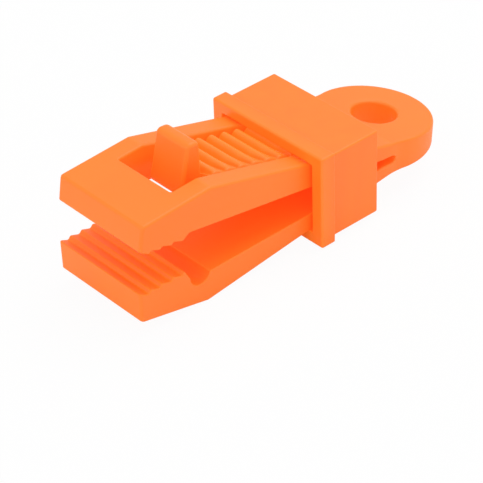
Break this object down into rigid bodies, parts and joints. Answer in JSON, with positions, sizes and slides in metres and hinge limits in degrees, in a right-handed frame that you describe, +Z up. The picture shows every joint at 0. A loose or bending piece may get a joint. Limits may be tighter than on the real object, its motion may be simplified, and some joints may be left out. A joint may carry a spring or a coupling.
{
  "type": "tarp clip",
  "caption": "Orange moulded tarp clip: toothed jaws on springy arms, rope-hole eye, sliding square locking collar, and a ribbed latch tongue with an upright thumb tab.",
  "frame": {"origin": "centre of the rope hole in the eye, on the clip's mid-plane", "axes": "+X along the mid-plane from the eye to the jaws' lips, +Z up along the rope hole towards the thumb tab, +Y across the clip"},
  "size_m": [0.0798, 0.03, 0.0288],
  "materials": {
    "body_plastic": "satin, slightly translucent orange moulding",
    "collar_plastic": "satin, slightly translucent orange moulding"
  },
  "bodies": {
    "eye": {"eye_plate": "body_plastic"},
    "upper_arm": {"upper_jaw": "body_plastic"},
    "lower_arm": {"lower_jaw": "body_plastic"},
    "tongue": {"latch_tongue": "body_plastic", "thumb_tab": "body_plastic"},
    "collar": {"slide_collar": "collar_plastic", "collar_pawl": "collar_plastic"}
  },
  "joints": [
    {"name": "collar_slide", "type": "slide", "parent": "eye", "child": "collar", "axis": [1, 0, 0], "range_m": [0, 0.0118]},
    {"name": "upper_arm_bend", "type": "hinge", "parent": "eye", "child": "upper_arm", "pos_m": [0.0076, 0, 0.00219], "axis": [0, 1, 0], "range_deg": [0, 3.7]},
    {"name": "lower_arm_bend", "type": "hinge", "parent": "eye", "child": "lower_arm", "pos_m": [0.0076, 0, -0.00219], "axis": [0, -1, 0], "range_deg": [0, 3.7]},
    {"name": "tongue_press", "type": "hinge", "parent": "upper_arm", "child": "tongue", "pos_m": [0.0215, 0, 0.004], "axis": [0, 1, 0], "range_deg": [0, 3], "stiffness_Nm_per_rad": 0.5}
  ],
  "couplings": [
    {"joint": "upper_arm_bend", "follows": "collar_slide", "rad_per_m": 5.47},
    {"joint": "lower_arm_bend", "follows": "collar_slide", "rad_per_m": 5.47}
  ]
}
